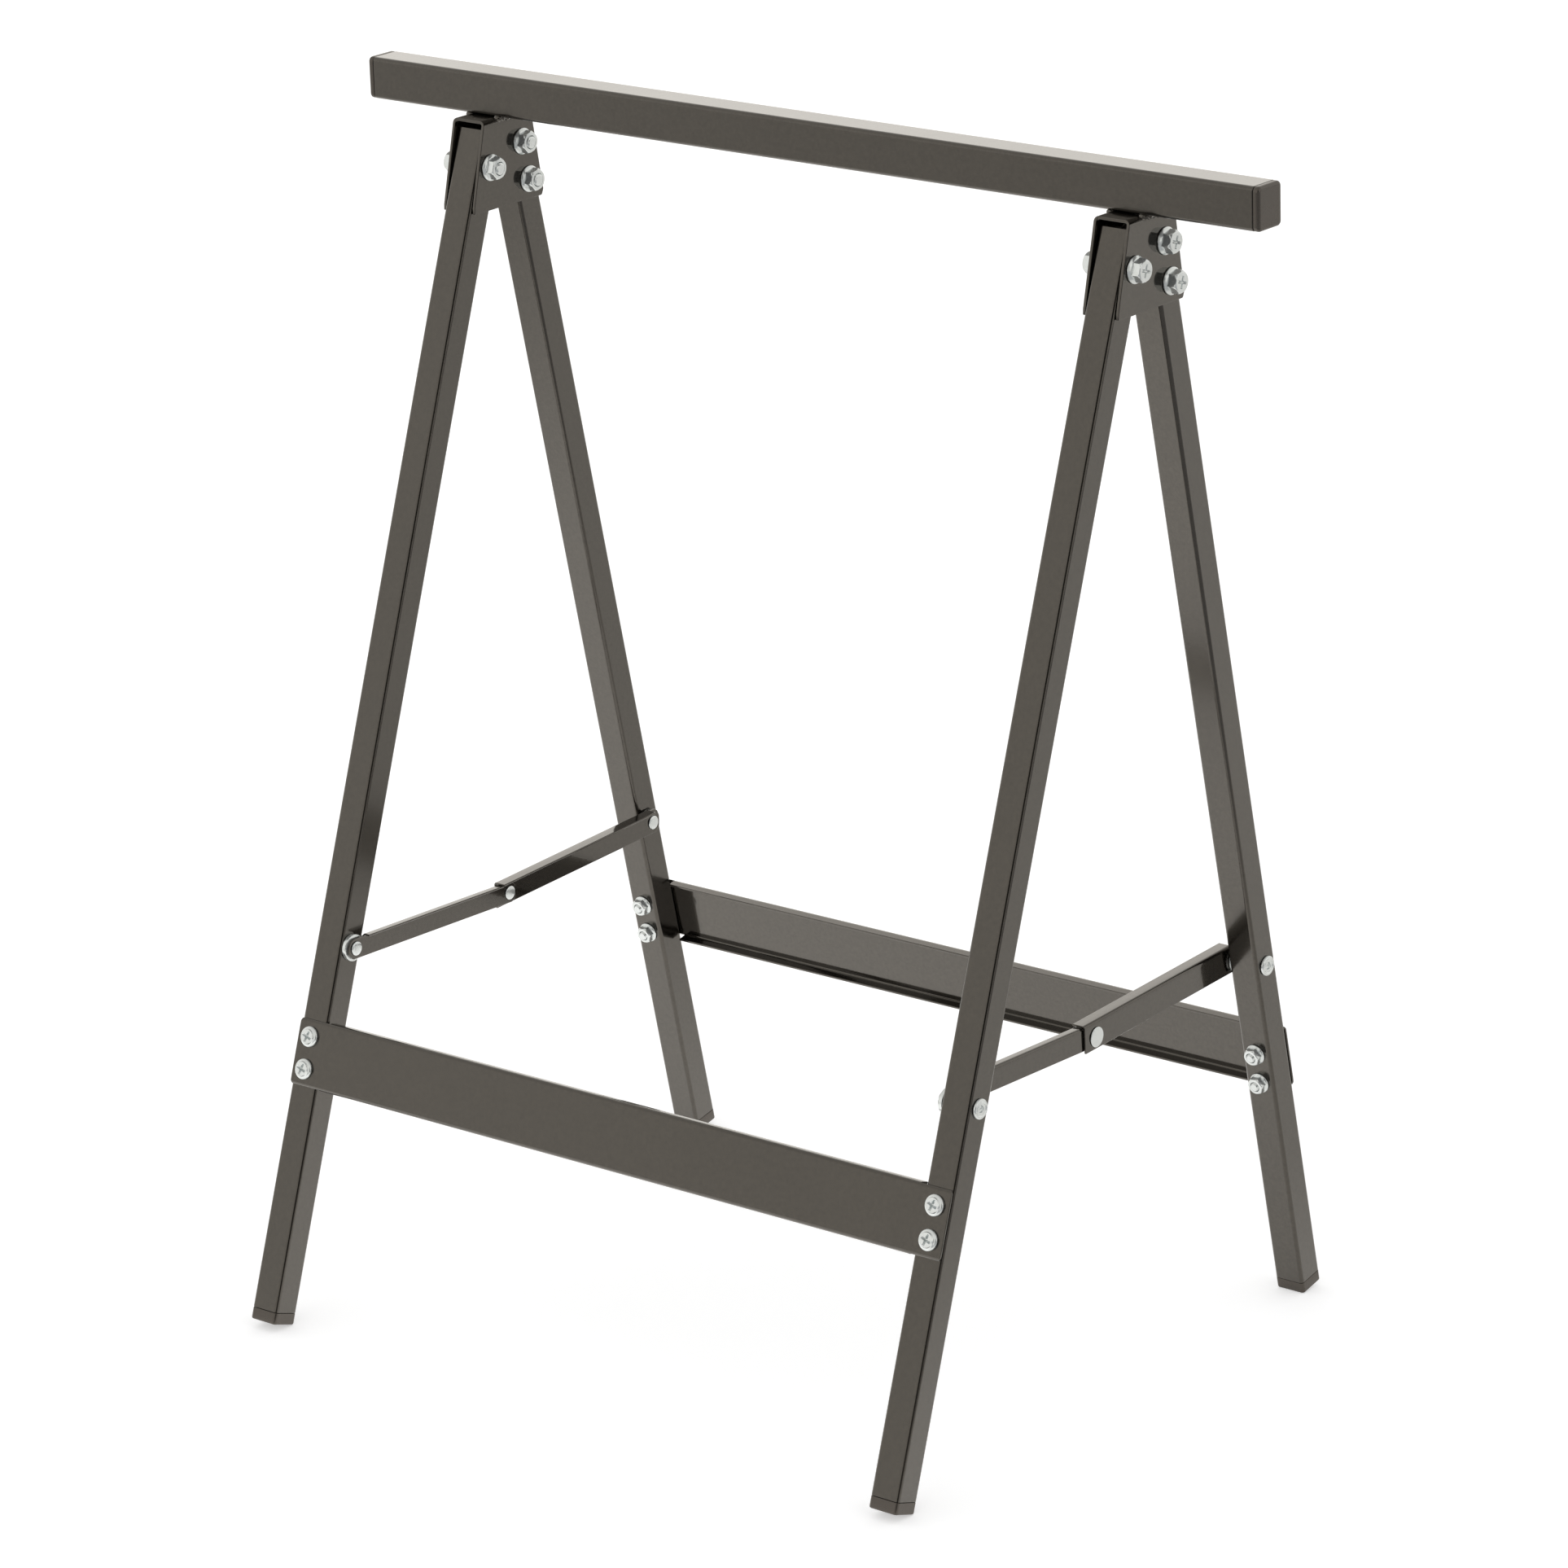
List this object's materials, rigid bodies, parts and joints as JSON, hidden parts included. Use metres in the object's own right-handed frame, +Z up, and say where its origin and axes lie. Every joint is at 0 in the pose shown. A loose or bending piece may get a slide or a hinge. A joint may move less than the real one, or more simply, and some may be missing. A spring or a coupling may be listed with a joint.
{
  "type": "work trestle",
  "caption": "Folding steel work trestle: a tube beam on two head brackets, two hinged leg frames with cross rails, and folding two-link stays.",
  "frame": {"origin": "on the floor, at the centre of the footprint", "axes": "+X along the beam to the right seen from the front, +Y from the front frame to the rear frame, +Z up"},
  "size_m": [0.68, 0.4364, 0.754],
  "materials": {
    "coat": "glossy black powder coat on steel",
    "plastic": "moulded black plastic plug",
    "zinc": "bright zinc-plated fastener"
  },
  "bodies": {
    "rear_frame": {"beam": "coat", "beam_cap_left": "plastic", "head_bracket_left": "coat", "rear_leg_left": "coat", "rear_foot_left": "plastic", "stay_rear_rivet_left": "zinc", "stay_rear_washer_left": "zinc", "pivot_bolt_left": "zinc", "pivot_nut_left": "zinc", "upper_bolt_left": "zinc", "upper_nut_left": "zinc", "lower_bolt_left": "zinc", "lower_nut_left": "zinc", "rear_rail_bolt_left_upper": "zinc", "rear_rail_nut_left_upper": "zinc", "rear_rail_bolt_left_lower": "zinc", "rear_rail_nut_left_lower": "zinc", "beam_cap_right": "plastic", "head_bracket_right": "coat", "rear_leg_right": "coat", "rear_foot_right": "plastic", "stay_rear_rivet_right": "zinc", "stay_rear_washer_right": "zinc", "pivot_bolt_right": "zinc", "pivot_nut_right": "zinc", "upper_bolt_right": "zinc", "upper_nut_right": "zinc", "lower_bolt_right": "zinc", "lower_nut_right": "zinc", "rear_rail_bolt_right_upper": "zinc", "rear_rail_nut_right_upper": "zinc", "rear_rail_bolt_right_lower": "zinc", "rear_rail_nut_right_lower": "zinc", "rear_rail": "coat"},
    "front_frame": {"front_rail_bolt_left_upper": "zinc", "front_rail_nut_left_upper": "zinc", "front_rail_bolt_left_lower": "zinc", "front_rail_nut_left_lower": "zinc", "front_leg_left": "coat", "front_foot_left": "plastic", "stay_front_screw_left": "zinc", "stay_front_washer_left": "zinc", "front_rail_bolt_right_upper": "zinc", "front_rail_nut_right_upper": "zinc", "front_rail_bolt_right_lower": "zinc", "front_rail_nut_right_lower": "zinc", "front_leg_right": "coat", "front_foot_right": "plastic", "stay_front_screw_right": "zinc", "stay_front_washer_right": "zinc", "front_rail": "coat"},
    "stay_rear_left": {"stay_rear_link_left": "coat", "stay_middle_rivet_left": "zinc"},
    "stay_front_left": {"stay_front_link_left": "coat", "stay_front_rivet_left": "zinc"},
    "stay_rear_right": {"stay_rear_link_right": "coat", "stay_middle_rivet_right": "zinc"},
    "stay_front_right": {"stay_front_link_right": "coat", "stay_front_rivet_right": "zinc"}
  },
  "joints": [
    {"name": "front_leg_fold", "type": "hinge", "parent": "rear_frame", "child": "front_frame", "pos_m": [0, 0.03112, 0.6975], "axis": [1, 0, 0], "range_deg": [0, 28]},
    {"name": "stay_rear_pivot_left", "type": "hinge", "parent": "rear_frame", "child": "stay_rear_left", "pos_m": [-0.2315, 0.16104, 0.2312], "axis": [-1, 0, 0], "range_deg": [0, 59.3]},
    {"name": "stay_middle_pivot_left", "type": "hinge", "parent": "stay_rear_left", "child": "stay_front_left", "pos_m": [-0.2315, 0.01534, 0.2254], "axis": [1, 0, 0], "range_deg": [0, 161.8]},
    {"name": "stay_rear_pivot_right", "type": "hinge", "parent": "rear_frame", "child": "stay_rear_right", "pos_m": [0.2315, 0.16104, 0.2312], "axis": [-1, 0, 0], "range_deg": [0, 59.3]},
    {"name": "stay_middle_pivot_right", "type": "hinge", "parent": "stay_rear_right", "child": "stay_front_right", "pos_m": [0.2315, 0.01534, 0.2254], "axis": [1, 0, 0], "range_deg": [0, 161.8]}
  ],
  "couplings": [
    {"joint": "stay_rear_pivot_left", "follows": "front_leg_fold", "ratio": 2.1168},
    {"joint": "stay_middle_pivot_left", "follows": "front_leg_fold", "ratio": 5.7774},
    {"joint": "stay_rear_pivot_right", "follows": "front_leg_fold", "ratio": 2.1168},
    {"joint": "stay_middle_pivot_right", "follows": "front_leg_fold", "ratio": 5.7774}
  ]
}
